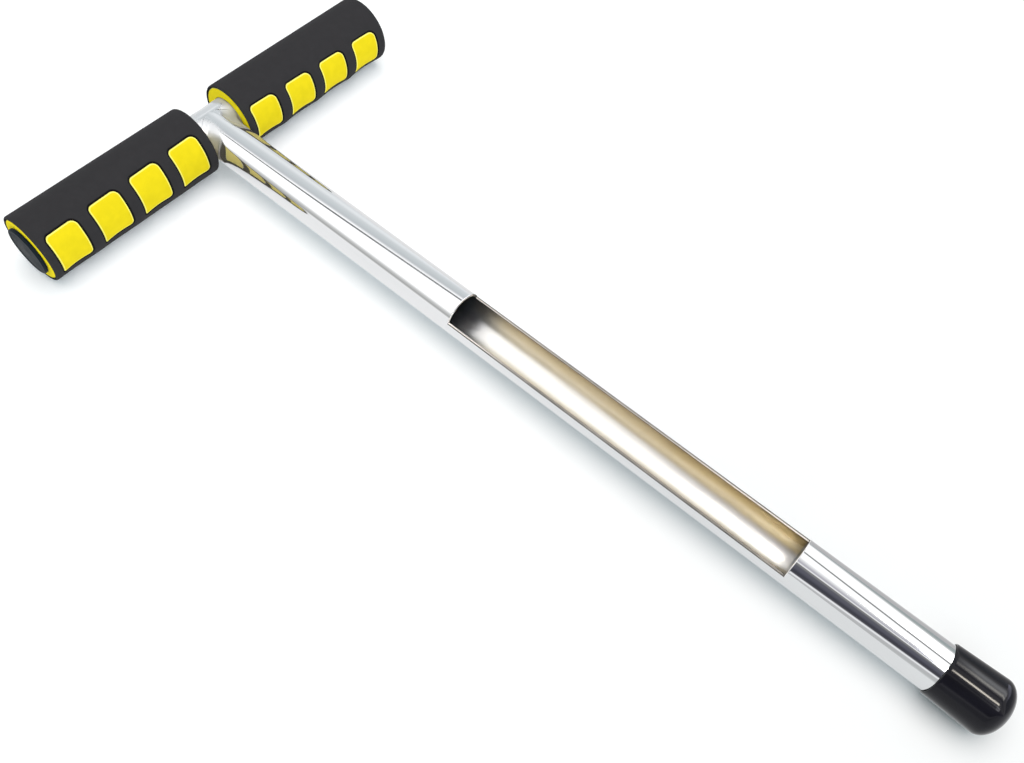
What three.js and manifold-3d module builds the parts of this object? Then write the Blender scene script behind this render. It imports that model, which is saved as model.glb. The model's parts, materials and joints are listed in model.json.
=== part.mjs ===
// Soil sampling probe with a T handle, lying on its grips and its tip cap
// Units are millimetres and +Z is up. The probe tube runs along +X to its tip, the crossbar along Y.
import * as THREE from 'three';
import { mergeVertices } from 'three/addons/utils/BufferGeometryUtils.js';
import Module from 'manifold-3d';

const wasm = await Module();
wasm.setup();

// Clearance between pieces that touch, and how far a cutting shape runs past what it cuts
const seatGap = 0.3;
const overrun = 5;

// Tube stock of the probe and of the crossbar
const stockRadius = 12.7;
const stockWall = 1.5;

// Probe tube, with places measured from the crossbar's axis
const probeLength = 516.8;
const windowStart = 200.5;
const windowLength = 210.6;
const windowRimHeight = 3.7;
const flareLeg = 4;
const flareToe = 0.25;

// Cutting mouth at the tip: the outside tapers and the bore necks in behind the edge
const taperLength = 14;
const taperDepth = 2.1;
const neckLength = 22;
const edgeLand = 0.4;

// Foam grips, each a yellow core under a black skin
const gripSideClearance = 0.5;
const gripLength = 114;
const gripRadius = 20.8;
const skinThickness = 1.5;
const skinEdgeRound = 1.1;
const coreEdgeRound = 1.2;

// Finger grooves, and the windows in them that show the core
const grooveCount = 4;
const grooveDepthShare = 0.66;
const windowEndLand = 5.95;
const windowSpacing = 8.3;
const windowHeight = 22;
const windowCorner = 4.6;
const windowDish = 1;
const windowElevation = THREE.MathUtils.degToRad(17);
const grooveFullAngle = THREE.MathUtils.degToRad(42);
const grooveEndAngle = THREE.MathUtils.degToRad(104);

// End plugs, pressed into the crossbar
const plugHeadRadius = 14.35;
const plugHeadThickness = 2;
const plugHeadRound = 0.9;
const plugShankLength = 18;
const plugWall = 2;
const plugRibCount = 4;
const plugRibHeight = 0.9;

// Tip cap, dipped so that its wall thickens to the closed end
const capDepth = 29.1;
const capMouthWall = 0.8;
const capTipWall = 1.65;
const capEndThickness = 4.1;
const capNoseLength = 8.6;

// Counts of flat facets round the pieces
const tubeSides = 40;
const gripSides = 32;
const plugSides = 28;
const cornerSteps = 3;
const noseSteps = 5;

// Where a grip's surface has points across each groove, as shares of the half width
const skinStationShares = [-1, -0.55, 0, 0.55];
const coreStationShares = [-1, -0.5, 0, 0.5, 1];

// Worked out from the sizes above
const boreRadius = stockRadius - stockWall;
const sleeveBore = stockRadius + seatGap;
const gripStart = stockRadius + gripSideClearance;
const gripCentre = gripStart + gripLength / 2;
const crossbarLength = 2 * (gripStart + gripLength);
const coreRadius = gripRadius - skinThickness - seatGap;
const windowWidth = (gripLength - 2 * windowEndLand + windowSpacing) / grooveCount - windowSpacing;
const groovePitch = windowWidth + windowSpacing;
const edgeRadius = stockRadius - taperDepth;
const capBore = stockRadius + seatGap;
const capTipRadius = capBore + capTipWall;
const capMouth = probeLength + seatGap - capDepth;
const capTip = probeLength + seatGap + capEndThickness;
const capShoulder = capTip - capNoseLength;

const finish = {
  chrome: new THREE.MeshStandardMaterial({ color: 0xd9dbde, roughness: 0.1, metalness: 1 }),
  blackFoam: new THREE.MeshStandardMaterial({ color: 0x2b2b2d, roughness: 0.9, metalness: 0 }),
  yellowFoam: new THREE.MeshStandardMaterial({ color: 0xe8db1c, roughness: 0.85, metalness: 0 }),
  plugPlastic: new THREE.MeshStandardMaterial({ color: 0x3b3c40, roughness: 0.55, metalness: 0 }),
  capVinyl: new THREE.MeshStandardMaterial({ color: 0x16161a, roughness: 0.3, metalness: 0 }),
};

// Joins shared corners, drops triangles that have no area and turns the faces outward
function closedMesh(geometry) {
  geometry.deleteAttribute('normal');
  geometry.deleteAttribute('uv');
  const merged = mergeVertices(geometry);
  const points = merged.attributes.position;
  const corners = Array.from(merged.index.array);
  const kept = [];
  let volume = 0;
  for (let i = 0; i < corners.length; i += 3) {
    const [a, b, c] = corners.slice(i, i + 3);
    if (a === b || b === c || c === a) continue;
    kept.push(a, b, c);
    const [p, q, r] = [a, b, c].map((k) => new THREE.Vector3().fromBufferAttribute(points, k));
    volume += p.dot(q.cross(r));
  }
  merged.setIndex(volume < 0 ? kept.reverse() : kept);
  return merged;
}

function toSolid(geometry) {
  const mesh = closedMesh(geometry);
  return new wasm.Manifold(new wasm.Mesh({
    numProp: 3,
    vertProperties: new Float32Array(mesh.attributes.position.array),
    triVerts: new Uint32Array(mesh.index.array),
  }));
}

function toGeometry(solid) {
  const mesh = solid.getMesh();
  const geometry = new THREE.BufferGeometry();
  geometry.setAttribute('position', new THREE.BufferAttribute(mesh.vertProperties, 3));
  geometry.setIndex(new THREE.BufferAttribute(mesh.triVerts, 1));
  return geometry;
}

// A body round the Y axis from a closed outline of [radius, along] points, which may differ
// at each angle. Angles run from +X towards +Z, from a share of a step on.
function loftRound(sides, startShare, outlineAt) {
  const positions = [];
  const index = [];
  const outlines = [];
  for (let i = 0; i < sides; i += 1) {
    const angle = (2 * Math.PI * (i + startShare)) / sides;
    outlines.push(outlineAt(angle));
    for (const [radius, along] of outlines[i]) {
      positions.push(radius * Math.cos(angle), along, radius * Math.sin(angle));
    }
  }
  const count = outlines[0].length;
  for (let i = 0; i < sides; i += 1) {
    for (let j = 0; j < count; j += 1) {
      const here = i * count;
      const next = ((i + 1) % sides) * count;
      const up = (j + 1) % count;
      index.push(here + j, next + j, next + up, here + j, next + up, here + up);
    }
  }
  const geometry = new THREE.BufferGeometry();
  geometry.setAttribute('position', new THREE.Float32BufferAttribute(positions, 3));
  geometry.setIndex(index);
  return closedMesh(geometry);
}

// Points of a quarter turn about a centre, as [radius, along]
function quarterTurn(radius, along, round, from) {
  return Array.from({ length: cornerSteps + 1 }, (_, i) => {
    const angle = from + (Math.PI / 2) * (i / cornerSteps);
    return [radius + round * Math.cos(angle), along + round * Math.sin(angle)];
  });
}

// Turns a body made round the Y axis so that its axis is the probe's, along +X
function alongProbe(geometry) {
  return geometry.rotateZ(-Math.PI / 2);
}

// The smooth flare from the probe tube into the crossbar, at one angle round the tube: a thin
// toe on the crossbar's surface and a curve from there to the tube's. It fades to nothing on
// top, where the two surfaces meet flush, and stops short of the grips.
function flareCurve(copeAt, angle) {
  const sideways = Math.abs(Math.cos(angle));
  const room = (gripStart - seatGap) / sideways - stockRadius;
  const rise = Math.min(flareLeg * sideways * sideways, room);
  const toe = new THREE.Vector2(stockRadius + rise, copeAt(stockRadius + rise));
  const start = new THREE.Vector2(toe.x, toe.y + flareToe);
  const corner = new THREE.Vector2(stockRadius, copeAt(stockRadius) + flareToe);
  const end = new THREE.Vector2(stockRadius, corner.y + flareLeg * sideways);
  const curve = new THREE.QuadraticBezierCurve(start, corner, end);
  return [toe, ...curve.getPoints(cornerSteps + 1)].map((point) => [point.x, point.y]);
}

// The probe tube: coped to the crossbar at one end and tapered to a cutting mouth at the other
function tubeOutline(angle) {
  const copeRadius = stockRadius + seatGap;
  const copeAt = (radius) => Math.sqrt(copeRadius ** 2 - (radius * Math.sin(angle)) ** 2);
  const middle = (boreRadius + stockRadius) / 2;
  return [
    ...flareCurve(copeAt, angle),
    [stockRadius, windowStart],
    [stockRadius, windowStart + windowLength],
    [stockRadius, probeLength - taperLength],
    [edgeRadius, probeLength],
    [edgeRadius - edgeLand, probeLength],
    [boreRadius, probeLength - neckLength],
    [boreRadius, windowStart + windowLength],
    [boreRadius, windowStart],
    [boreRadius, copeAt(boreRadius)],
    [middle, copeAt(middle)],
  ];
}

function probeTube() {
  const tube = toSolid(alongProbe(loftRound(tubeSides, 1 / 2, tubeOutline)));
  const cutHeight = stockRadius + overrun - windowRimHeight;
  const cutter = new THREE.BoxGeometry(windowLength, 2 * (stockRadius + overrun), cutHeight);
  cutter.translate(windowStart + windowLength / 2, 0, windowRimHeight + cutHeight / 2);
  return toGeometry(tube.subtract(toSolid(cutter)));
}

function crossbarTube() {
  const end = crossbarLength / 2;
  return loftRound(tubeSides, 0, () => [
    [boreRadius, -end],
    [stockRadius, -end],
    [stockRadius, end],
    [boreRadius, end],
  ]);
}

// Middles of the finger grooves, measured along the grip from its middle
function grooveMiddles() {
  return Array.from({ length: grooveCount }, (_, i) => (i - (grooveCount - 1) / 2) * groovePitch);
}

// How far an angle round the grip lies from the middle of the windows
function angleFromWindow(angle) {
  return Math.abs(Math.atan2(Math.sin(angle - windowElevation), Math.cos(angle - windowElevation)));
}

// Depth of the finger grooves in the skin, full in front and fading out behind and below
function grooveDepth(angle, along) {
  const fade = THREE.MathUtils.smoothstep(angleFromWindow(angle), grooveFullAngle, grooveEndAngle);
  const nearest = Math.min(...grooveMiddles().map((middle) => Math.abs(along - middle)));
  const across = Math.min(nearest / (groovePitch / 2), 1);
  return grooveDepthShare * skinThickness * (1 - fade) * (1 - across ** 2);
}

// Dish of the core's surface in each window
function dishDepth(angle, along) {
  const halfAngle = Math.asin(windowHeight / 2 / gripRadius);
  const round = Math.min(angleFromWindow(angle) / halfAngle, 1);
  const nearest = Math.min(...grooveMiddles().map((middle) => Math.abs(along - middle)));
  const across = Math.min(nearest / (windowWidth / 2), 1);
  return windowDish * (1 - round ** 4) * (1 - across ** 2);
}

// Places along a grip where its surface has points, as shares of a groove's half width
function grooveStations(halfWidth, shares) {
  return grooveMiddles().flatMap((middle) => shares.map((share) => middle + halfWidth * share));
}

function gripSkin() {
  const end = gripLength / 2;
  const shoulder = end - skinEdgeRound;
  const rimRadius = gripRadius - skinEdgeRound;
  const stations = grooveStations(groovePitch / 2, skinStationShares);
  stations.push((grooveCount * groovePitch) / 2);
  const skin = toSolid(loftRound(gripSides, 0, (angle) => [
    [gripRadius - skinThickness, -end],
    ...quarterTurn(rimRadius, -shoulder, skinEdgeRound, -Math.PI / 2),
    ...stations.map((along) => [gripRadius - grooveDepth(angle, along), along]),
    ...quarterTurn(rimRadius, shoulder, skinEdgeRound, 0),
    [gripRadius - skinThickness, end],
  ]));
  return toGeometry(grooveMiddles().reduce(
    (solid, middle) => solid.subtract(toSolid(windowCutter(middle))),
    skin,
  ));
}

// A rounded rectangle that cuts one window through the skin, square to the window's middle
function windowCutter(middle) {
  const x = windowHeight / 2;
  const y = windowWidth / 2;
  const outline = new THREE.Shape();
  outline.moveTo(x - windowCorner, y);
  outline.absarc(windowCorner - x, y - windowCorner, windowCorner, Math.PI / 2, Math.PI);
  outline.absarc(windowCorner - x, windowCorner - y, windowCorner, Math.PI, (3 * Math.PI) / 2);
  outline.absarc(x - windowCorner, windowCorner - y, windowCorner, -Math.PI / 2, 0);
  outline.absarc(x - windowCorner, y - windowCorner, windowCorner, 0, Math.PI / 2);
  const cutter = new THREE.ExtrudeGeometry(outline, {
    depth: gripRadius + overrun - stockRadius,
    bevelEnabled: false,
    curveSegments: cornerSteps,
  });
  cutter.translate(0, 0, stockRadius);
  cutter.rotateY(Math.PI / 2 - windowElevation);
  return cutter.translate(0, middle, 0);
}

function gripCore() {
  const end = gripLength / 2;
  const shoulder = end - coreEdgeRound;
  const stations = grooveStations(windowWidth / 2, coreStationShares);
  return loftRound(gripSides, 0, (angle) => [
    [sleeveBore, -end],
    [coreRadius - coreEdgeRound, -end],
    [coreRadius, -shoulder],
    ...stations.map((along) => [coreRadius - dishDepth(angle, along), along]),
    [coreRadius, shoulder],
    [coreRadius - coreEdgeRound, end],
    [sleeveBore, end],
  ]);
}

// An end plug: a round head outside the crossbar and a hollow ribbed shank in its bore.
// Its seat is at zero and its head points along +Y.
function endPlug() {
  const top = plugHeadThickness;
  const ribRadius = boreRadius - seatGap;
  const shankRadius = ribRadius - plugRibHeight;
  const hollowRadius = shankRadius - plugWall;
  const ribPitch = plugShankLength / plugRibCount;
  const ribTopShare = 1 / 4;
  const ribRootShare = 3 / 4;
  const ribs = Array.from({ length: plugRibCount }, (_, i) => [
    [ribRadius, -ribPitch * (i + ribTopShare)],
    [shankRadius, -ribPitch * (i + ribRootShare)],
  ]).flat();
  const outline = [
    [0, -plugWall],
    [hollowRadius, -plugWall],
    [hollowRadius, -plugShankLength],
    [shankRadius, -plugShankLength],
    ...ribs.reverse(),
    [shankRadius, 0],
    [plugHeadRadius, 0],
    ...quarterTurn(plugHeadRadius - plugHeadRound, top - plugHeadRound, plugHeadRound, 0),
    [0, top],
  ];
  const points = outline.map(([radius, along]) => new THREE.Vector2(radius, along));
  return closedMesh(new THREE.LatheGeometry(points, plugSides));
}

// The tip cap, open at its mouth, with a rounded nose. Inside it follows the tube's taper.
// Its outline starts and ends on the axis.
function tipCap() {
  const nose = Array.from({ length: noseSteps + 1 }, (_, i) => {
    const angle = (Math.PI / 2) * (i / noseSteps);
    return [capTipRadius * Math.cos(angle), capShoulder + capNoseLength * Math.sin(angle)];
  });
  const outline = [
    [0, probeLength + seatGap],
    [edgeRadius + seatGap, probeLength + seatGap],
    [capBore, probeLength - taperLength],
    [capBore, capMouth],
    [capBore + capMouthWall / 2, capMouth - capMouthWall / 2],
    [capBore + capMouthWall, capMouth],
    ...nose.slice(0, noseSteps),
    [0, capTip],
  ];
  const points = outline.map(([radius, along]) => new THREE.Vector2(radius, along));
  return alongProbe(closedMesh(new THREE.LatheGeometry(points, tubeSides)));
}

function piece(name, geometry, material) {
  const mesh = new THREE.Mesh(geometry, material);
  mesh.name = name;
  return mesh;
}

// One end of the handle: grip and plug, with the outer end pointing along +Y
function handleEnd(side) {
  const end = new THREE.Group();
  const core = piece(`grip_core_${side}`, gripCore(), finish.yellowFoam);
  const skin = piece(`grip_skin_${side}`, gripSkin(), finish.blackFoam);
  const plug = piece(`end_plug_${side}`, endPlug(), finish.plugPlastic);
  core.position.y = gripCentre;
  skin.position.y = gripCentre;
  plug.position.y = crossbarLength / 2 + seatGap;
  end.add(core, skin, plug);
  return end;
}

// How far the probe tips forward to lie on the grips and on the shoulder of the cap
function restingTilt() {
  const reach = Math.hypot(capShoulder, capTipRadius);
  return Math.asin(gripRadius / reach) - Math.atan2(capTipRadius, capShoulder);
}

function soilProbe() {
  const probe = new THREE.Group();
  probe.add(piece('probe_tube', probeTube(), finish.chrome));
  probe.add(piece('crossbar_tube', crossbarTube(), finish.chrome));
  probe.add(piece('tip_cap', tipCap(), finish.capVinyl));
  const right = handleEnd('right');
  const left = handleEnd('left');
  left.scale.y = -1;
  probe.add(right, left);
  probe.rotation.y = restingTilt();
  return probe;
}

// The origin is under the middle of the whole probe, on the surface that it lies on
const group = new THREE.Group();
const probe = soilProbe();
const box = new THREE.Box3().setFromObject(probe, true);
const middle = box.getCenter(new THREE.Vector3());
probe.position.set(-middle.x, -middle.y, -box.min.z);
group.add(probe);

export default group;
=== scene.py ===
"""Soil sampling probe with a T handle: dresses the packed frame with its finished pieces."""

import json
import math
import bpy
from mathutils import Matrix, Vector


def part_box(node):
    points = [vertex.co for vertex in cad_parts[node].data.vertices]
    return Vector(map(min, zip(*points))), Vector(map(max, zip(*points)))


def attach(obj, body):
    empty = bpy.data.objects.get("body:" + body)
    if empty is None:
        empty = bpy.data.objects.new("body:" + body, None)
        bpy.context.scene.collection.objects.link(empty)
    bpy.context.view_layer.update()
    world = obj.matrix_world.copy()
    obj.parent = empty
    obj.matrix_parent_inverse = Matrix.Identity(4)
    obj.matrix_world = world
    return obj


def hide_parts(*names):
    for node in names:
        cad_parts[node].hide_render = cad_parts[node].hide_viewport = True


bl_info = {
    "name": "Soil Sampling Probe",
    "version": (1, 0, 0),
    "blender": (4, 5, 0),
    "location": "3D View > Sidebar > Soil Probe",
    "description": "Builds the chromed tubes, foam grips, plugs and tip cap of a soil probe",
    "category": "Object",
}

import bmesh
import bpy
import numpy as np
from bpy.props import FloatProperty, FloatVectorProperty, IntProperty, PointerProperty
from mathutils import Matrix, Vector

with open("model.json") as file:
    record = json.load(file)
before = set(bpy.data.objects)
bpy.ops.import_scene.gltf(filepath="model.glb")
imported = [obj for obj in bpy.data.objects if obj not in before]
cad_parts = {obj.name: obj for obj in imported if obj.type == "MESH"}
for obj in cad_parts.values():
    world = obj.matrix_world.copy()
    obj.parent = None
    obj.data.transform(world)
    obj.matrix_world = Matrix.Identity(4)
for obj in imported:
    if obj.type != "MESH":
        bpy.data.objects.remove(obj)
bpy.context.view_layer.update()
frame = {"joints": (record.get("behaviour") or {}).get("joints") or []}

# How the probe lies: along its tube, across to the right grip and up out of the slot, and the
# point where the tube's axis meets the crossbar's
ALONG = Vector(frame["joints"][0]["axis"]).normalized()
ACROSS = Vector((0, 1, 0))
UP = ALONG.cross(ACROSS)
MEETING = sum(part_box("crossbar_tube"), Vector()) / 2
LAY = np.array([ALONG, ACROSS, UP])

SIDES = {"left": -1, "right": 1}
# Steps in a rounded edge, and how near points have to be to merge
EDGE_STEPS = 4
MERGE = 1e-7
# Radius of the circle that an outline is swept along, and sides of the turned pieces
SWEEP_RADIUS = 0.001
BAR_SIDES, CAP_SIDES, PLUG_SIDES = 160, 128, 96
RING_SIDES, RIB_SIDES = 64, 10


def length(name, text, value):
    return FloatProperty(name=name, description=text, default=value, unit="LENGTH", precision=4)


def angle(name, text, degrees):
    value = math.radians(degrees)
    return FloatProperty(name=name, description=text, default=value, unit="ROTATION")


def number(name, text, value):
    return FloatProperty(name=name, description=text, default=value)


def count(name, text, value):
    return IntProperty(name=name, description=text, default=value)


def vector(name, text, value, **kind):
    return FloatVectorProperty(name=name, description=text, default=value, size=len(value), **kind)


def colour(name, text, value):
    return vector(name, text, value, subtype="COLOR", min=0, max=1)


class SoilProbeSizes(bpy.types.PropertyGroup):
    """Sizes of the probe's pieces, measured from the crossbar's axis along the tube"""

    tube_radius: length("Tube radius", "Outside radius of the tube stock", 0.0127)
    tube_wall: length("Tube wall", "Wall of the tube stock", 0.0015)
    tube_length: length("Tube length", "From the crossbar's axis to the cutting edge", 0.5168)
    slot_start: length("Slot start", "Where the sampling slot begins", 0.2005)
    slot_length: length("Slot length", "Length of the sampling slot", 0.2106)
    slot_rim: length("Slot rim", "Height of the slot's rims above the tube's axis", 0.0037)
    slot_edge: length("Slot edge round", "Rounding of the slot's deburred edges", 0.00028)
    flare_leg: length("Flare leg", "Reach of the ground weld flare along the tube", 0.011)
    flare_rise: length("Flare rise", "Reach of the ground weld flare up the crossbar", 0.0065)
    flare_room: length("Flare room", "Half width left for the flare between the grips", 0.0129)
    taper_length: length("Taper length", "Length of the tapered cutting mouth", 0.014)
    taper_depth: length("Taper depth", "How far the cutting mouth tapers in", 0.0021)
    neck_length: length("Neck length", "Length of the narrowing bore behind the edge", 0.022)
    edge_land: length("Cutting edge", "Thickness of the cutting edge", 0.0004)
    bar_length: length("Crossbar length", "Length of the crossbar tube", 0.2544)
    grip_start: length("Grip start", "From the tube's axis to a grip's inner end", 0.0132)
    grip_length: length("Grip length", "Length of a foam grip", 0.114)
    grip_radius: length("Grip radius", "Radius of a foam grip", 0.0208)
    grip_bore: length("Grip bore", "Radius of the hole through a grip", 0.013)
    skin_thickness: length("Skin thickness", "Thickness of the black foam layer", 0.0015)
    skin_edge: length("Skin edge round", "Rounding of the skin at the grip's ends", 0.0013)
    core_radius: length("Core radius", "Radius of the yellow core under the skin", 0.019)
    core_edge: length("Core edge round", "Rounding of the core at the grip's ends", 0.0012)
    groove_depth: length("Groove depth", "Depth of the finger grooves", 0.00115)
    window_count: count("Windows", "Windows in each grip", 4)
    window_pitch: length("Window pitch", "Spacing of the finger windows", 0.0276)
    window_width: length("Window width", "Width of a window along the grip", 0.0193)
    window_lip: length("Window lip", "Rounding of the skin round a window", 0.0003)
    window_shoulder: length("Window shoulder", "Rounding of the core in a window", 0.0004)
    window_recess: length("Window recess", "How far the core lies below the skin", 0.00008)
    window_corners: vector(
        "Window corners", "Corner radii: upper right, upper left, lower right, lower left",
        (0.0038, 0.0028, 0.0030, 0.0009), unit="LENGTH", precision=4,
    )
    left_height: length("Left height", "Height of a left window round the grip", 0.0249)
    right_height: length("Right height", "Height of a right window round the grip", 0.0228)
    left_turn: angle("Left turn", "Angle of the left windows above the tube's direction", 17.2)
    right_turn: angle("Right turn", "Angle of the right windows above the tube's direction", 6.3)
    left_shift: length("Left shift", "How far out the left grip's windows are moved", 0.0006)
    right_shift: length("Right shift", "How far out the right grip's windows are moved", -0.0010)
    grip_twist: angle("Grip twist", "Twist of a grip over its length, from pushing it on", -8)
    plug_radius: length("Plug radius", "Radius of an end plug's head", 0.01435)
    plug_head: length("Plug head", "Thickness of an end plug's head", 0.002)
    plug_dish: length("Plug dish", "Depth of the dish in an end plug's head", 0.0003)
    plug_shank: length("Plug shank", "Length of an end plug's shank", 0.018)
    plug_shank_radius: length("Plug shank radius", "Radius of the shank under its ribs", 0.01)
    plug_wall: length("Plug wall", "Wall of the hollow shank", 0.002)
    plug_rib: length("Plug rib", "Thickness of a rib on the shank", 0.0009)
    rib_count: count("Plug ribs", "Ribs on a plug's shank", 4)
    plug_seat: length("Plug seat", "Gap between a plug's head and the crossbar", 0.0003)
    cap_mouth: length("Cap mouth", "Where the tip cap begins", 0.488)
    cap_bore: length("Cap bore", "Radius inside the tip cap", 0.013)
    cap_mouth_wall: length("Cap mouth wall", "Wall of the cap at its lip", 0.0008)
    cap_tip_wall: length("Cap tip wall", "Wall of the cap at its shoulder", 0.00165)
    cap_nose: length("Cap nose", "Length of the cap's rounded nose", 0.0086)
    cap_tip: length("Cap tip", "End of the cap", 0.5212)
    cap_wave: length("Cap wave", "How far the dipped lip waves back and forth", 0.0003)


class SoilProbeColours(bpy.types.PropertyGroup):
    """Colours of the probe's finishes"""

    chrome: colour("Chrome", "Polished plating", (0.70, 0.71, 0.72))
    bore: colour("Bore", "Satin metal inside the slot", (0.86, 0.84, 0.80))
    # A warm tone up the bore's walls, browner near the tip
    bore_tone: colour("Bore stain", "Warm stain on the bore's walls", (0.64, 0.56, 0.40))
    bore_tone_tip: colour("Bore stain at the tip", "The same, near the tip", (0.52, 0.43, 0.25))
    # Painted shade on the bore where it runs on under the closed tube and in the slot's far corner
    bore_shade_colour: colour("Bore depth", "Unpolished bore under the closed tube", (0.36, 0.38, 0.42))
    # The rim carries painted shade along its edges and a painted highlight at its ends
    rim: colour("Rim", "Filed rim of the slot", (0.80, 0.745, 0.69))
    rim_painted_highlight: colour("Rim bright", "Polished ends of the slot's rim", (0.96, 0.95, 0.93))
    rim_painted_shade: colour("Rim edge", "Dark edges of the slot's rim", (0.030, 0.028, 0.024))
    black_foam: colour("Black foam", "Skin of the grips", (0.031, 0.031, 0.034))
    yellow_foam: colour("Yellow foam", "Core of the grips", (0.79, 0.655, 0.010))
    # The core's edge line round the windows is paler; the skin's is darker
    yellow_edge: colour("Yellow edge", "Paler ground edge of the core", (1.0, 0.96, 0.20))
    # Painted reflection: the foam as the metal mirrors it, in duller colours as if its faces were
    # in shade
    yellow_painted_reflection: colour("Yellow shade", "Core as the metal shows it", (0.56, 0.48, 0.22))
    end_painted_reflection: colour("End shade", "Grip's ends as the metal shows them", (0.95, 0.90, 0.82))
    black_painted_reflection: colour("Black shade", "Skin as the metal shows it", (0.10, 0.09, 0.065))
    foam_bounce: colour("Foam bounce", "Foam as the paper is lit by it", (0.45, 0.45, 0.47))
    plug: colour("Plug", "Plastic of the end plugs", (0.011, 0.017, 0.022))
    cap: colour("Cap", "Dipped vinyl of the tip cap", (0.006, 0.006, 0.009))


class SoilProbeStage(bpy.types.PropertyGroup):
    """Camera, floor and light"""

    camera_place: vector(
        "Camera place", "Where the camera stands", (0.145662, -0.22755, 0.43717),
        subtype="XYZ", unit="LENGTH",
    )
    camera_sight: vector(
        "Camera sight", "Direction in which the camera looks", (-0.300766, 0.43199, -0.85025),
        subtype="XYZ",
    )
    camera_top: vector(
        "Camera top", "Direction that is up in the picture", (-0.570446, 0.632975, 0.523387),
        subtype="XYZ",
    )
    camera_lens: number("Camera lens", "Focal length in millimetres", 33.47)
    floor: colour("Floor", "Paper sweep", (0.97, 0.97, 0.97))
    floor_white: colour("Floor white", "Paper in the picture, by the tip", (0.838, 0.875, 0.893))
    # The paper carries painted light, brighter by the handle
    floor_gain: number("Floor gain", "How much brighter the paper is by the handle", 1.21)
    sky: colour("Sky", "Soft light from all round", (0.84, 0.965, 1.0))
    sky_strength: number("Sky strength", "Strength of the soft light", 0.54)
    key: colour("Key", "Colour of the key light", (1.0, 0.85, 0.79))
    key_strength: number("Key strength", "Strength of the key light", 1.75)
    key_spread: angle("Key spread", "Softness of the key light", 60)
    key_from: vector("Key from", "Direction it comes from", (-0.04, 0.08, 1.0), subtype="XYZ")
    fill: colour("Fill", "Colour of the fill light", (1.0, 0.96, 0.92))
    fill_strength: number("Fill strength", "Strength of the fill light", 1.15)
    fill_spread: angle("Fill spread", "Softness of the fill light", 80)
    fill_from: vector("Fill from", "Direction it comes from", (0.95, -0.22, 0.60), subtype="XYZ")


def sizes():
    return bpy.context.scene.soil_probe_sizes


def colours():
    return bpy.context.scene.soil_probe_colours


# Outlines and meshes


def arc(centre, radius, start, end, steps=EDGE_STEPS):
    """Points of an arc as (radius, along), from one angle to another in degrees."""
    turns = np.radians(np.linspace(start, end, steps + 1))
    return [(centre[0] + radius * math.cos(t), centre[1] + radius * math.sin(t)) for t in turns]


def supported(points, closed, gap=0.0005):
    """Adds a point near each end of the long straight stretches, so that they shade flat."""
    made = []
    for i, here in enumerate(points):
        made.append(here)
        if i == len(points) - 1 and not closed:
            break
        there = points[(i + 1) % len(points)]
        span = math.dist(here, there)
        if span > 3 * gap:
            for share in (gap / span, 1 - gap / span):
                made.append(tuple(a + (b - a) * share for a, b in zip(here, there)))
    return made


def strip_faces(here, there, closed=True):
    """The four-sided faces between two rows of points."""
    steps = range(len(here) if closed else len(here) - 1)
    pairs = [(i, (i + 1) % len(here)) for i in steps]
    return [(here[i], here[j], there[j], there[i]) for i, j in pairs]


def eased(values, low, high):
    """Rises smoothly from 0 to 1 between two values."""
    share = np.clip((values - low) / (high - low), 0, 1)
    return share * share * (3 - 2 * share)


def held(value):
    """A number kept between 0 and 1."""
    return min(max(value, 0), 1)


def mesh_of(name, vertices, faces):
    mesh = bpy.data.meshes.new(name)
    mesh.from_pydata([tuple(v) for v in vertices], [], faces)
    return mesh


def attribute(mesh, name, values):
    made = mesh.attributes.new(name, "FLOAT", "POINT")
    made.data.foreach_set("value", np.asarray(values, np.float32))


def outward(mesh):
    """Merges doubles, turns the faces outward and shades them smooth."""
    work = bmesh.new()
    work.from_mesh(mesh)
    bmesh.ops.remove_doubles(work, verts=work.verts, dist=MERGE)
    bmesh.ops.recalc_face_normals(work, faces=work.faces)
    work.to_mesh(mesh)
    work.free()
    mesh.shade_smooth()
    return mesh


def piece(name, mesh, body, nodes, slot, *materials):
    """Makes an object of the mesh, on its body, in place of its nodes."""
    for material in materials:
        mesh.materials.append(material)
    made = bpy.data.objects.new(name, mesh)
    bpy.context.scene.collection.objects.link(made)
    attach(made, body)
    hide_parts(*nodes)
    return made


def placed(points):
    """Points given along, across and up from the meeting point, in the row frame."""
    return np.asarray(points, float) @ LAY + np.array(MEETING)


# Nodes


def feed(socket, value):
    """Gives an input its value, or what drives it: an output, or a node's first output."""
    if isinstance(value, bpy.types.Node):
        value = value.outputs[0]
    if isinstance(value, bpy.types.NodeSocket):
        socket.id_data.links.new(value, socket)
    elif socket.type == "RGBA":
        socket.default_value = (*value, 1)
    else:
        socket.default_value = value


def give(made, **values):
    """Feeds a node's inputs by their names, with _ for a space."""
    for name, value in values.items():
        feed(made.inputs[name.replace("_", " ")], value)
    return made


def node(tree, kind, inputs=None, **settings):
    """Adds a node with its settings, and feeds its inputs, named or numbered."""
    made = tree.nodes.new(kind)
    for name, value in settings.items():
        setattr(made, name, value)
    for name, value in (inputs or {}).items():
        feed(made.inputs[name], value)
    return made


def shared(store, name):
    """Builds a part of bpy.data when it is first asked for, and finds it there afterwards."""

    def keep(build):
        def find():
            return getattr(bpy.data, store).get(name) or build(name)

        find.__doc__ = build.__doc__
        return find

    return keep


def new_group(name, kind, inputs, outputs):
    """A node group, its inputs and its last node. A socket is given as its kind, or as the usual
    value of a plain number."""
    tree = bpy.data.node_groups.new(name, kind)
    for way, sockets in (("INPUT", inputs), ("OUTPUT", outputs)):
        for socket, given in sockets.items():
            plain = isinstance(given, float)
            sort = "NodeSocketFloat" if plain else f"NodeSocket{given}"
            made = tree.interface.new_socket(socket, in_out=way, socket_type=sort)
            if plain:
                made.default_value = given
    return tree, node(tree, "NodeGroupInput").outputs, node(tree, "NodeGroupOutput")


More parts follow.
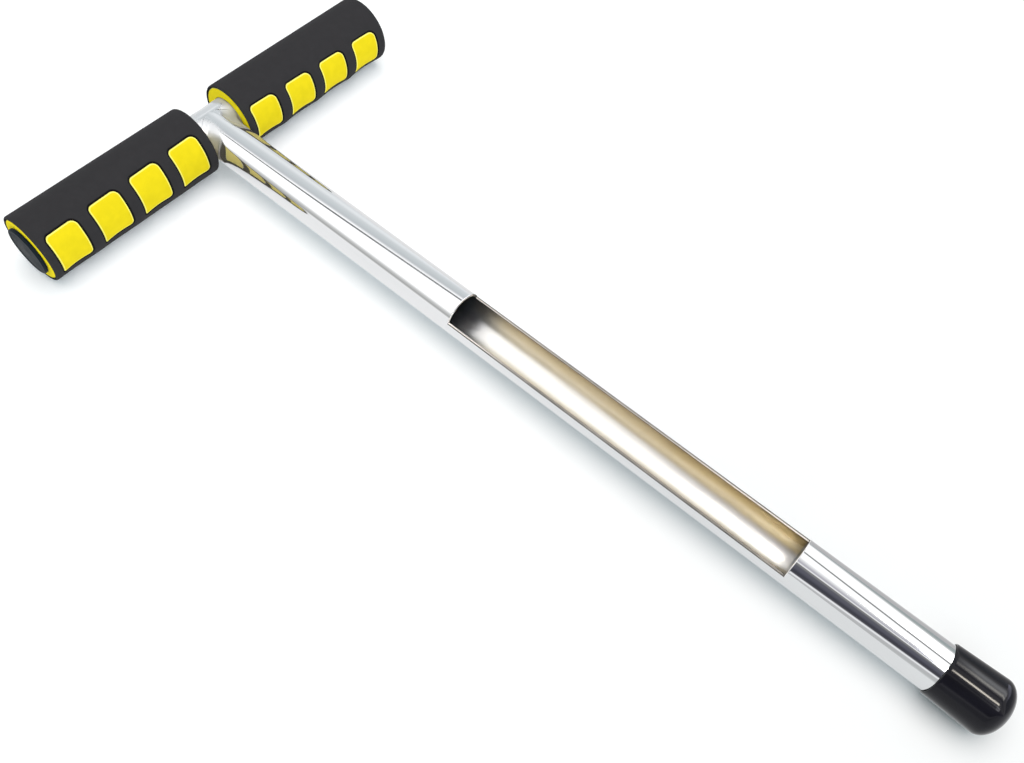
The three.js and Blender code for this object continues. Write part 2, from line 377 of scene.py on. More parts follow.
def finished(made, geometry, finish):
    """The end of each tree: smooth faces, real instances and the finish."""
    tree = made.id_data
    smooth = node(tree, "GeometryNodeSetShadeSmooth", {"Geometry": geometry})
    real = node(tree, "GeometryNodeRealizeInstances", {"Geometry": smooth})
    give(made, Piece=node(tree, "GeometryNodeSetMaterial", {"Geometry": real, "Material": finish}))
    return tree


@shared("node_groups", "Turned Piece")
def turned_tree(name):
    """Revolves an outline round the Z axis: its X is the radius and its Y runs down the axis."""
    inputs = {"Outline": "Geometry", "Sides": "Int", "Path Radius": "Float", "Finish": "Material"}
    tree, given, made = new_group(name, "GeometryNodeTree", inputs, {"Piece": "Geometry"})
    circle = {"Resolution": given["Sides"], "Radius": given["Path Radius"]}
    path = node(tree, "GeometryNodeCurvePrimitiveCircle", circle)
    profile = node(tree, "GeometryNodeMeshToCurve", {"Mesh": given["Outline"]})
    sweep = node(tree, "GeometryNodeCurveToMesh", {"Curve": path, "Profile Curve": profile})
    merged = node(tree, "GeometryNodeMergeByDistance", {"Geometry": sweep, "Distance": MERGE})
    return finished(made, merged, given["Finish"])


@shared("node_groups", "Shank Ribs")
def rib_tree(name):
    """Sets rings at an even pitch along the Z axis, as the ribs of a push-in shank."""
    inputs = {
        "Plug": "Geometry", "Count": "Int", "Start": "Vector", "Pitch": "Vector",
        "Ring Radius": "Float", "Rib Radius": "Float", "Finish": "Material",
    }
    tree, given, made = new_group(name, "GeometryNodeTree", inputs, {"Piece": "Geometry"})
    row = {"Count": given["Count"], "Start Location": given["Start"], "Offset": given["Pitch"]}
    ring, section = (
        node(tree, "GeometryNodeCurvePrimitiveCircle", {"Resolution": sides, "Radius": radius})
        for sides, radius in ((RING_SIDES, given["Ring Radius"]), (RIB_SIDES, given["Rib Radius"]))
    )
    rib = node(tree, "GeometryNodeCurveToMesh", {"Curve": ring, "Profile Curve": section})
    line = node(tree, "GeometryNodeMeshLine", row)
    copies = node(tree, "GeometryNodeInstanceOnPoints", {"Points": line, "Instance": rib})
    joined = node(tree, "GeometryNodeJoinGeometry", {"Geometry": copies})
    give(joined, Geometry=given["Plug"])
    return finished(made, joined, given["Finish"])


def made_by_nodes(mesh, tree, values):
    """The mesh that a tree makes of this one, with the modifier gone."""
    holder = bpy.data.objects.new("Holder", mesh)
    bpy.context.scene.collection.objects.link(holder)
    modifier = holder.modifiers.new(tree.name, "NODES")
    modifier.node_group = tree
    for socket in tree.interface.items_tree:
        if socket.in_out == "INPUT" and socket.name in values:
            modifier[socket.identifier] = values[socket.name]
    bpy.context.view_layer.update()
    graph = bpy.context.evaluated_depsgraph_get()
    made = bpy.data.meshes.new_from_object(holder.evaluated_get(graph))
    holder.modifiers.remove(modifier)
    bpy.data.objects.remove(holder)
    return made


def turned(name, outline, closed, sides, material):
    """A turned mesh round the Z axis, from an outline of (radius, along) points."""
    points = [(radius - SWEEP_RADIUS, -along, 0) for radius, along in outline]
    edges = [(i, i + 1) for i in range(len(points) - 1)]
    if closed:
        edges.append((len(points) - 1, 0))
    mesh = bpy.data.meshes.new(name)
    mesh.from_pydata(points, edges, [])
    values = {"Sides": sides, "Path Radius": SWEEP_RADIUS, "Finish": material}
    return made_by_nodes(mesh, turned_tree(), values)


def set_along(mesh, axis, place):
    """Stands a mesh made round Z on an axis of the probe, at a place on it."""
    first = UP if axis.cross(UP).length > 0.5 else ACROSS
    turn = Matrix((first, axis.cross(first), axis)).transposed().to_4x4()
    mesh.transform(Matrix.Translation(place) @ turn)
    return outward(mesh)


# Materials


def math_node(operation, *values):
    """What an operation makes of outputs and numbers, the first of them an output."""
    inputs = dict(enumerate(values))
    return node(values[0].id_data, "ShaderNodeMath", inputs, operation=operation).outputs[0]


def vector_node(operation, *values):
    """The same for vectors. A distance is a plain number."""
    inputs = dict(enumerate(values))
    made = node(values[0].id_data, "ShaderNodeVectorMath", inputs, operation=operation)
    return made.outputs["Value" if operation == "DISTANCE" else "Vector"]


def ranged(value, low, high, to_low, to_high, kind="SMOOTHSTEP"):
    """Carries a value over from one range to another, eased at both ends unless LINEAR."""
    ends = zip(("From Min", "From Max", "To Min", "To Max"), (low, high, to_low, to_high))
    inputs = {"Value": value, **dict(ends)}
    return node(value.id_data, "ShaderNodeMapRange", inputs, interpolation_type=kind).outputs[0]


def mixed(share, first, second, clamped=True):
    """A colour between two others, which are colours or outputs."""
    settings = {"data_type": "RGBA", "clamp_factor": clamped}
    inputs = {0: share, 6: first, 7: second}
    return node(share.id_data, "ShaderNodeMix", inputs, **settings).outputs[2]


def blended(way, first, second):
    """Two colours put together by a blend type, at full strength."""
    settings = {"data_type": "RGBA", "blend_type": way}
    inputs = {0: 1, 6: first, 7: second}
    return node(first.id_data, "ShaderNodeMix", inputs, **settings).outputs[2]


def mixed_shader(share, first, second):
    return node(share.id_data, "ShaderNodeMixShader", {0: share, 1: first, 2: second})


def object_place(tree):
    return node(tree, "ShaderNodeTexCoord").outputs["Object"]


def parts_of(value):
    return node(value.id_data, "ShaderNodeSeparateXYZ", {"Vector": value}).outputs


def painted(tree, name):
    """The value that a mesh carries under a name."""
    return node(tree, "ShaderNodeAttribute", attribute_name=name).outputs["Fac"]


def noise(tree, scale, detail, stretch=(1, 1, 1)):
    """Noise on the object's coordinates, drawn out where the stretch is small."""
    place = node(tree, "ShaderNodeMapping", {"Vector": object_place(tree), "Scale": stretch})
    inputs = {"Vector": place, "Scale": scale, "Detail": detail}
    return node(tree, "ShaderNodeTexNoise", inputs).outputs["Fac"]


def scaled(value, factor):
    return tuple(min(1.0, c * factor) for c in value)


@shared("node_groups", "Foam Grain")
def foam_grain(name):
    """Fine closed-cell grain: pores as a height, and a mottle for the colour."""
    inputs = {"Cell Scale": 1500.0, "Mottle Scale": 180.0}
    tree, given, made = new_group(name, "ShaderNodeTree", inputs, {"Height": 0.0, "Mottle": 0.0})
    cell = {"Vector": object_place(tree), "Scale": given["Cell Scale"]}
    cells = node(tree, "ShaderNodeTexVoronoi", cell).outputs["Distance"]
    soft = noise(tree, given["Mottle Scale"], 4)
    height = math_node("ADD", ranged(cells, 0.0, 0.7, 0.0, 1.0), math_node("MULTIPLY", soft, 1.2))
    give(made, Height=height, Mottle=ranged(soft, 0.3, 0.7, 0.0, 1.0))
    return tree


@shared("node_groups", "Handling Marks")
def handling_marks(name):
    """Faint drawn-out smears and a slow waviness, as on handled smooth surfaces."""
    inputs = {"Smear Scale": 30.0, "Wave Scale": 22.0}
    tree, given, made = new_group(name, "ShaderNodeTree", inputs, {"Smear": 0.0, "Wave": 0.0})
    smear = noise(tree, given["Smear Scale"], 6, (0.25, 1.6, 1.6))
    wave = noise(tree, given["Wave Scale"], 1, (0.5, 1, 1))
    give(made, Smear=ranged(smear, 0.35, 0.72, 0.0, 1.0), Wave=wave)
    return tree


def blank_material(name, **values):
    """A material with its Principled shader, whose constants are set here."""
    material = bpy.data.materials.new(name)
    material.use_nodes = True
    tree = material.node_tree
    return material, tree, give(tree.nodes["Principled BSDF"], **values)


def placed_group(tree, group, **values):
    return give(node(tree, "ShaderNodeGroup", node_tree=group), **values).outputs


def bump(tree, height, strength, distance):
    inputs = {"Height": height, "Strength": strength, "Distance": distance}
    return node(tree, "ShaderNodeBump", inputs)


@shared("materials", "Chrome Plating")
def chrome_material(name):
    """Bright plating with faint smears and slight waviness, more satin round the ground weld."""
    material, tree, shader = blank_material(name, Metallic=1.0)
    marks = placed_group(tree, handling_marks(), Smear_Scale=34.0, Wave_Scale=26.0)
    chrome = colours().chrome
    rough = ranged(marks["Smear"], 0, 1, 0.035, 0.075, "LINEAR")
    # The weld's corners lie the same way off to all sides, so one of them is enough
    weld_corner, flattened = (0.010, 0.015, 0), (1, 1, 0.3)
    off = vector_node("ABSOLUTE", vector_node("SUBTRACT", object_place(tree), MEETING))
    reach = vector_node("DISTANCE", vector_node("MULTIPLY", off, flattened), weld_corner)
    ground = ranged(reach, 0.008, 0.016, 0.36, 0.0)
    give(
        shader, Base_Color=mixed(marks["Smear"], chrome, scaled(chrome, 0.965)),
        Roughness=math_node("ADD", rough, ground), Normal=bump(tree, marks["Wave"], 0.05, 0.0006),
    )
    return material


@shared("materials", "Satin Bore")
def bore_material(name):
    """Satin metal inside the slot: warm stain up the walls, brighter where it is scraped."""
    material, tree, shader = blank_material(name, Metallic=1.0)
    shade = colours()
    marks = placed_group(tree, handling_marks(), Smear_Scale=60.0, Wave_Scale=40.0)
    along = parts_of(object_place(tree))["X"]
    # A warm tone up the walls, browner near the tip and a little uneven
    tone = ranged(painted(tree, "wall_rise"), 0.12, 0.55, 0.0, 1.0)
    uneven = ranged(marks["Wave"], 0.3, 0.7, 0.86, 1.0, "LINEAR")
    near_tip = ranged(along, -0.02, 0.15, 0, 1)
    toned = mixed(near_tip, shade.bore_tone, shade.bore_tone_tip)
    warm = mixed(math_node("MULTIPLY", tone, uneven), shade.bore, toned)
    rough = ranged(marks["Smear"], 0, 1, 0.30, 0.40, "LINEAR")
    polished = ranged(along, 0.09, 0.16, 1, 0.85)
    # The colour carries painted shade where the bore runs on under the closed tube
    give(
        shader, Base_Color=mixed(painted(tree, "bore_shade_share"), warm, shade.bore_shade_colour),
        Roughness=math_node("MULTIPLY", rough, polished),
        Normal=bump(tree, noise(tree, 900.0, 3, (0.05, 1, 1)), 0.06, 0.00005),
    )
    return material


@shared("materials", "Filed Rim")
def rim_material(name):
    """The slot's filed rim: pale along its middle, dark at its edges and bright at its ends."""
    material, tree, shader = blank_material(name, Metallic=1.0)
    shade = colours()
    line = painted(tree, "rim_shade_highlight")
    uneven = noise(tree, 350.0, 3, (0.2, 1, 1))
    darkening = ranged(uneven, 0.3, 0.75, 0.85, 1.0, "LINEAR")
    # Painted shade along the rim's edges, a little uneven
    dark = math_node("MULTIPLY", ranged(line, 0, 1, 0, 1, "LINEAR"), darkening)
    # The rim's own pale colour, with a painted highlight at its ends
    filed_with_highlight = mixed(ranged(line, -1, 0, 1, 0, "LINEAR"), shade.rim, shade.rim_painted_highlight)
    give(
        shader, Base_Color=mixed(dark, filed_with_highlight, shade.rim_painted_shade),
        Roughness=ranged(uneven, 0, 1, 0.28, 0.42, "LINEAR"),
        Normal=bump(tree, uneven, 0.1, 0.00005),
    )
    return material


def foam_material(name, base, edge, edge_reach, painted_reflection):
    """Matte closed-cell foam, with a ground edge round the windows and a duller mirror image."""
    material, tree, shader = blank_material(name, Roughness=0.92, Specular_IOR_Level=0.12)
    grain = placed_group(tree, foam_grain(), Cell_Scale=1500.0, Mottle_Scale=190.0)
    facing = parts_of(node(tree, "ShaderNodeNewGeometry").outputs["Normal"])
    end_face = ranged(math_node("ABSOLUTE", facing["Y"]), 0.6, 0.9, 0, 1)
    body = mixed(grain["Mottle"], scaled(base, 0.97), scaled(base, 1.025))
    # Painted light: the grip's end faces are brighter
    body = mixed(end_face, body, scaled(base, 1.24))
    body = mixed(ranged(painted(tree, "rim_distance"), *edge_reach, 1.0, 0.0), body, edge)
    # Painted shade: darker where the surface turns away from the eye
    weight = node(tree, "ShaderNodeLayerWeight").outputs["Facing"]
    direct = mixed(ranged(weight, 0.80, 0.97, 0.0, 0.8), body, scaled(base, 0.3))
    # Painted reflection: the metal mirrors the foam in duller colours, as if in shade
    rays = node(tree, "ShaderNodeLightPath").outputs
    image = mixed(end_face, painted_reflection, colours().end_painted_reflection)
    shown = mixed(math_node("MULTIPLY", rays["Is Glossy Ray"], 0.75), direct, image)
    bounced = mixed(rays["Is Diffuse Ray"], shown, colours().foam_bounce)
    give(shader, Base_Color=bounced, Normal=bump(tree, grain["Height"], 0.35, 0.00012))
    return material


@shared("materials", "Black Foam")
def black_foam(name):
    shade = colours()
    # The skin's edge line round the windows is darker
    edge = scaled(shade.black_foam, 0.10)
    return foam_material(name, shade.black_foam, edge, (0.0005, 0.0012), shade.black_painted_reflection)


@shared("materials", "Yellow Foam")
def yellow_foam(name):
    shade = colours()
    edge = shade.yellow_edge
    return foam_material(name, shade.yellow_foam, edge, (0.0004, 0.0011), shade.yellow_painted_reflection)


@shared("materials", "Plug Plastic")
def plug_material(name):
    """Satin moulded plastic."""
    material, tree, shader = blank_material(name, Specular_IOR_Level=0.03)
    grain = placed_group(tree, foam_grain(), Cell_Scale=2600.0, Mottle_Scale=90.0)
    plug = colours().plug
    give(
        shader, Base_Color=mixed(grain["Mottle"], plug, scaled(plug, 1.18)),
        Roughness=ranged(grain["Mottle"], 0, 1, 0.42, 0.55, "LINEAR"),
        Normal=bump(tree, grain["Height"], 0.15, 0.00004),
    )
    return material


@shared("materials", "Dipped Vinyl")
def cap_material(name):
    """Glossy dipped vinyl, with the slow ripples of a dip coat."""
    material, tree, shader = blank_material(name, Specular_IOR_Level=0.18)
    marks = placed_group(tree, handling_marks(), Smear_Scale=120.0, Wave_Scale=90.0)
    cap = colours().cap
    give(
        shader, Base_Color=mixed(marks["Smear"], cap, scaled(cap, 1.5)),
        Roughness=ranged(marks["Smear"], 0, 1, 0.07, 0.11, "LINEAR"),
        Normal=bump(tree, marks["Wave"], 0.10, 0.0008),
    )
    return material


# Tubes

# Steps round the tube below the slot's rims and above them, and rings of the flare, along the
# slot and on to the taper
BELOW_STEPS, ABOVE_STEPS = 88, 60
FLARE_RINGS, SLOT_RINGS, TIP_RINGS = 15, 12, 6
# How near an edge a ring stands, so that the stretch behind it shades flat
RING_GAP = 0.0008
# How deep the flare's toe and the cope of the bore lie in the crossbar's surface
TOE_SINK, COPE_SINK = 0.000005, 0.00002
# The taper's soft start: how far the wall bends in, and rings behind the bend
BEND, BEND_RINGS = 0.00003, (0.0002, 0.0006)
# Widths of the painted shade lines along the slot's rim, outside and inside, in edge radii
OUTER_LINE = {"near": 1.3, "far": 2.5, "end": 1.3}
LINE_FADE, INNER_LINE = 0.3, 1.6
# Where the painted shade on the bore by the handle fades out, from the slot's start
BORE_SHADE = -0.0057, 0.0133


def flare_ring(share, turns):
    """Radius and place along the tube of the weld flare, at a share of its curve."""
    size = sizes()
    radius = size.tube_radius
    sideways = np.abs(np.cos(turns))
    upright = np.sin(turns) ** 2
    room = size.flare_room / np.maximum(sideways, 1e-6) - radius
    rise = np.minimum(size.flare_rise * sideways**2, room)
    sunk = radius - TOE_SINK
    toe_radius = radius + rise
    toe = np.sqrt(np.maximum(sunk**2 - toe_radius**2 * upright, 0))
    meet = toe + toe_radius * upright * rise / np.maximum(toe, 1e-4)
    corner = np.sqrt(np.maximum(sunk**2 - radius**2 * upright, 0))
    corner = np.where(toe > 1e-4, np.maximum(meet, corner), corner)
    end = corner + size.flare_leg * np.sqrt(sideways)
    a, b, c = (1 - share) ** 2, 2 * share * (1 - share), share**2
    return a * toe_radius + (b + c) * radius, a * toe + b * corner + c * end


def slot_turns(rim_angle, edge):
    """Angles round the tube from one slot rim below to the other and back over the top."""
    turns = []
    start, end, over = math.pi - rim_angle, 2 * math.pi + rim_angle, 3 * math.pi - rim_angle
    for low, high, steps in ((start, end, BELOW_STEPS), (end, over, ABOVE_STEPS)):
        turns += [low + edge, low + 2 * edge, *np.linspace(low + 5 * edge, high - 5 * edge, steps)]
        turns += [high - 2 * edge, high - edge]
    return np.array(turns)


def ring_points(radius, along, turns):
    """Points round the tube; an angle of zero is to the right, a quarter turn is up."""
    radius = np.broadcast_to(radius, turns.shape)
    along = np.broadcast_to(along, turns.shape)
    return np.stack([along, radius * np.cos(turns), radius * np.sin(turns)], axis=1)


def stations(start, end, steps):
    """Places from after the start of a stretch to its end, with support near both."""
    gap = min(RING_GAP, (end - start) / 4)
    return [*np.linspace(start + gap, end - gap, steps), end]


class TubeMesh:
    """Vertices and faces of the probe tube, gathered ring by ring."""

    def __init__(self):
        self.points, self.faces, self.finish, self.rim_shade_highlight = [], [], [], {}

    def add(self, points):
        first = len(self.points)
        self.points.extend(points)
        return list(range(first, len(self.points)))

    def strip(self, here, there, finish=0, closed=True):
        made = strip_faces(here, there, closed)
        self.faces += made
        self.finish += [finish] * len(made)


def slot_edges(low, high, tangents, edge, line):
    """Rows of points over a rounded rim, from outside to inside, each with its band. The dark
    outer line is line edge radii wide."""
    across = high - low
    across /= np.linalg.norm(across, axis=1, keepdims=True)
    turns = [math.radians(90 * step / EDGE_STEPS) for step in range(1, EDGE_STEPS)]

    def rounded(start, tangent, inward, t):
        return start - edge * tangent * (1 - math.sin(t)) + edge * inward * (1 - math.cos(t))

    return [
        *((rounded(low, tangents[0], across, t), "outer") for t in turns),
        (low + edge * across, "outer"),
        (low + line * edge * across, "outer"),
        (low + (line + LINE_FADE) * edge * across, "middle"),
        (high - INNER_LINE * edge * across, "middle"),
        (high - edge * across, "inner"),
        *((rounded(high, tangents[1], -across, t), "inner") for t in reversed(turns)),
    ]


def probe_mesh():
    """The probe tube as one closed mesh, in sizes along, across and up."""
    size = sizes()
    radius, bore, edge = size.tube_radius, size.tube_radius - size.tube_wall, size.slot_edge
    slot_end = size.slot_start + size.slot_length
    outer_rim, inner_rim = (math.asin(size.slot_rim / wall) for wall in (radius, bore))
    outer_turns = slot_turns(outer_rim, edge / radius)
    inner_turns = slot_turns(inner_rim, edge / bore)
    below = BELOW_STEPS + 4
    start, stop = size.slot_start - edge, slot_end + edge
    taper = size.tube_length - size.taper_length
    slope = size.taper_depth / size.taper_length
    tip, lip = radius - size.taper_depth, size.edge_land / 2

    # Outside: the flare, the stretches before, beside and after the slot, the taper and its edge
    outer = [flare_ring(share, outer_turns) for share in np.linspace(0, 1, FLARE_RINGS)]
    flare_end = outer[-1][1]
    shares = (0.02, 0.1, 0.3, 0.6, 0.9, 0.985, 0.9985, 1.0)
    outer += [(radius, flare_end + (start - flare_end) * share) for share in shares]
    outer_start = len(outer) - 1
    outer += [(radius, along) for along in stations(start, stop, SLOT_RINGS)]
    outer_stop = len(outer) - 1
    outer += [(radius, stop + edge)]
    outer += [(radius, along) for along in stations(stop + edge, taper - RING_GAP, TIP_RINGS)]
    outer += [(radius, taper - RING_GAP / 2)]
    outer += [(radius - BEND - step * slope, taper + step) for step in BEND_RINGS]
    shares = (0.3, 0.7, 0.97)
    outer += [(radius - size.taper_depth * s, taper + size.taper_length * s) for s in shares]
    outer += arc((tip - lip, size.tube_length - lip), lip, 10, 170, 6)

    # Inside: from the cope at the crossbar past the slot, and the neck behind the edge
    cope = np.sqrt((radius - COPE_SINK) ** 2 - (bore * np.sin(inner_turns)) ** 2)
    shares = (0.0, 0.05, 0.3, 0.6, 0.8, 0.9, 0.95, 0.985, 1.0)
    inner = [(bore, cope + (start - cope) * share) for share in shares]
    shift = len(inner) - 1 - outer_start
    neck = size.tube_length - size.neck_length
    inner += [(bore, along) for along in stations(start, stop, SLOT_RINGS)]
    inner += [(bore, along) for along in stations(stop, neck, TIP_RINGS)]
    narrowing = tip - size.edge_land - bore
    inner += [(bore + narrowing * s, neck + size.neck_length * s) for s in (0.05, 0.5, 0.95)]

    work = TubeMesh()
    outer = [work.add(ring_points(*ring, outer_turns)) for ring in outer]
    inner = [work.add(ring_points(*ring, inner_turns)) for ring in inner]
    for rings, offset, finish in ((outer, 0, 0), (inner, shift, 1)):
        for k, (here, there) in enumerate(zip(rings, rings[1:])):
            if outer_start <= k - offset < outer_stop:
                work.strip(here[:below], there[:below], finish, closed=False)
            else:
                work.strip(here, there, finish)
    work.strip(outer[-1], inner[-1])
    work.strip(outer[0], inner[0])

    # The slot's rim as one loop: down the right rim, over the far arch, up the left, over the near
    right, left = below - 1, 0
    over = [right, *range(below, len(outer_turns)), left]
    loop = [(k, right) for k in range(outer_start, outer_stop)]
    loop += [(outer_stop, i) for i in over]
    loop += [(k, left) for k in range(outer_stop - 1, outer_start, -1)]
    loop += [(outer_start, i) for i in reversed(over[1:])]
    outer_loop = [outer[k][i] for k, i in loop]
    inner_loop = [inner[k + shift][i] for k, i in loop]
    points = np.array(work.points)
    cut = [
        {outer_start: size.slot_start, outer_stop: slot_end}.get(k, points[outer[k][i]][0])
        for k, i in loop
    ]

    def corners(wall, turns, rim):
        """Where the cut meets a wall, once round."""
        turns = np.array([{right: rim, left: math.pi - rim}.get(i, turns[i]) for _, i in loop])
        return ring_points(wall, cut, turns)

    low, high = corners(radius, outer_turns, outer_rim), corners(bore, inner_turns, inner_rim)
    tangents = (low - points[outer_loop]) / edge, (high - points[inner_loop]) / edge
    sides = [{left: "near", right: "far"}.get(i, "end") for _, i in loop]
    line = np.array([[OUTER_LINE[side]] for side in sides])
    rows = slot_edges(low, high, tangents, edge, line)
    rings = [(outer_loop, "outer"), *((work.add(row), band) for row, band in rows)]
    rings.append((inner_loop, "inner"))
    for (here, _), (there, _) in zip(rings, rings[1:]):
        work.strip(here, there, 2)
    for ring, band in rings:
        for point, side in zip(ring, sides):
            work.rim_shade_highlight[point] = rim_tone(work.points[point], side, band)
    return work


def rim_tone(point, side, band):
    """How dark the slot's rim is at a point: 1 is dark, 0 is pale and -1 is bright."""
    size = sizes()
    past = point[0] - size.slot_start
    share = past / size.slot_length
    by_tip = held((share - 0.6) / 0.2)
    if band == "inner":
        return 1.0 - 0.55 * by_tip if side == "far" else 1.0
    if side == "end":
        # The start's far corner turns away from the light
        corner = held((point[1] / size.tube_radius - 0.45) / 0.2)
        return 2 * corner - 1 if share < 0.5 else -1.0
    if band == "outer":
        return 1.0
    if side == "near":
        return (0.78 + 0.1 * by_tip) * held((past - 0.015) / 0.03)
    darkening = 1 - abs(share - 0.45) / 0.33
    return max(0.45 * min(2 * darkening, 1), 0.4 * by_tip)


class SOILPROBE_OT_probe_tube(bpy.types.Operator):
    """Make the chromed probe tube with its slot, weld flare and cutting mouth"""

    bl_idname = "soil_probe.probe_tube"
    bl_label = "Probe Tube"

    def execute(self, context):
        size = sizes()
        bore = size.tube_radius - size.tube_wall
        work = probe_mesh()
        points = np.array(work.points)
        along, across, up = points.T
        mesh = mesh_of("probe_tube_chrome", placed(points), work.faces)
        mesh.polygons.foreach_set("material_index", np.array(work.finish, np.int32))
        # Painted shade along the slot rim's edges and a painted highlight at its ends
        attribute(mesh, "rim_shade_highlight", [work.rim_shade_highlight.get(i, 0.0) for i in range(len(points))])
        attribute(mesh, "wall_rise", np.clip((up + bore) / (bore + size.slot_rim), 0, 1))
        # Painted shade on the bore: darker under the closed tube by the handle, and in the far
        # corner by the tip
        depth = 1 - eased(along, *(size.slot_start + shade for shade in BORE_SHADE))
        end_ring = size.slot_start + size.slot_length + size.slot_edge
        corner_width, corner_gain = 0.0006, 2.5
        at_end = np.clip(1 - np.abs(along - end_ring) / corner_width, 0, 1)
        depth += at_end * np.clip(corner_gain * across / bore, 0, 1)
        attribute(mesh, "bore_shade_share", np.clip(depth, 0, 1))
        finishes = chrome_material(), bore_material(), rim_material()
        piece("probe_tube_chrome", outward(mesh), "probe", ["probe_tube"], "chrome", *finishes)
        return {"FINISHED"}


class SOILPROBE_OT_crossbar(bpy.types.Operator):
    """Make the chromed crossbar tube"""

    bl_idname = "soil_probe.crossbar"
    bl_label = "Crossbar"

    def execute(self, context):
        size = sizes()
        edge = 0.0003
        end, outer = size.bar_length / 2 - edge, size.tube_radius - edge
        inner = size.tube_radius - size.tube_wall + edge
        corners = ((inner, -end, 180), (outer, -end, 270), (outer, end, 0), (inner, end, 90))
        arcs = [arc((across, along), edge, turn, turn + 90) for across, along, turn in corners]
        outline = supported(sum(arcs, []), True)
        mesh = turned("crossbar_chrome", outline, True, BAR_SIDES, chrome_material())
        set_along(mesh, ACROSS, MEETING)
        piece("crossbar_chrome", mesh, "probe", ["crossbar_tube"], "chrome")
        return {"FINISHED"}


# Foam grips

# Points round and along a window's cell and round a grip's back, and steps to find an edge
CELL_ROUND, CELL_ALONG, BACK_ROUND = 33, 25, 65
HALVINGS = 40
# How far round a grip its windows' cells reach, and where the grooves fade out behind
CELL_TURN = math.radians(50)
GROOVE_FADE = math.radians(40), math.radians(66)
# Width of the edge line at a grip's end, and distances of the fine rings outside and inside a
# window's edge
END_LINE = 0.0006
OUTSIDE_RINGS = (0.00008, 0.0002, 0.00036, 0.0006, 0.001)
INSIDE_RINGS = (0.00005, 0.00014, 0.0003, 0.0005, 0.0008, 0.0014)


def own(side, name):
    """A size that is the left or the right grip's own."""
    return getattr(sizes(), f"{'right' if side > 0 else 'left'}_{name}")


def window_distance(p, q, side):
    """Distance from a window's edge on its flat pattern: above zero outside it."""
    size = sizes()
    q = q - own(side, "shift")
    corners = size.window_corners
    upper = np.where(q * side > 0, corners[0], corners[1])
    lower = np.where(q * side > 0, corners[2], corners[3])
    corner = np.where(p > 0, upper, lower)
    x = np.abs(p) - (own(side, "height") / 2 - corner)
    y = np.abs(q) - (size.window_width / 2 - corner)
    outside = np.hypot(np.maximum(x, 0), np.maximum(y, 0))
    return outside + np.minimum(np.maximum(x, y), 0) - corner


def cell_border(turns, q):
    """The border of one window's cell as (p, q) points, once round."""
    p = sizes().grip_radius * np.sin(turns)
    border = [(p[0], value) for value in q[:-1]]
    border += [(value, q[-1]) for value in p[:-1]]
    border += [(p[-1], value) for value in q[:0:-1]]
    border += [(value, q[0]) for value in p[:0:-1]]
    return np.array(border)


def window_edge(border, side):
    """Where the line from a cell's middle to each border point crosses the window's edge."""
    low, high = np.zeros(len(border)), np.ones(len(border))
    for _ in range(HALVINGS):
        middle = (low + high) / 2
        inside = window_distance(*(border * middle[:, None]).T, side) < 0
        low, high = np.where(inside, middle, low), np.where(inside, high, middle)
    return border * ((low + high) / 2)[:, None]


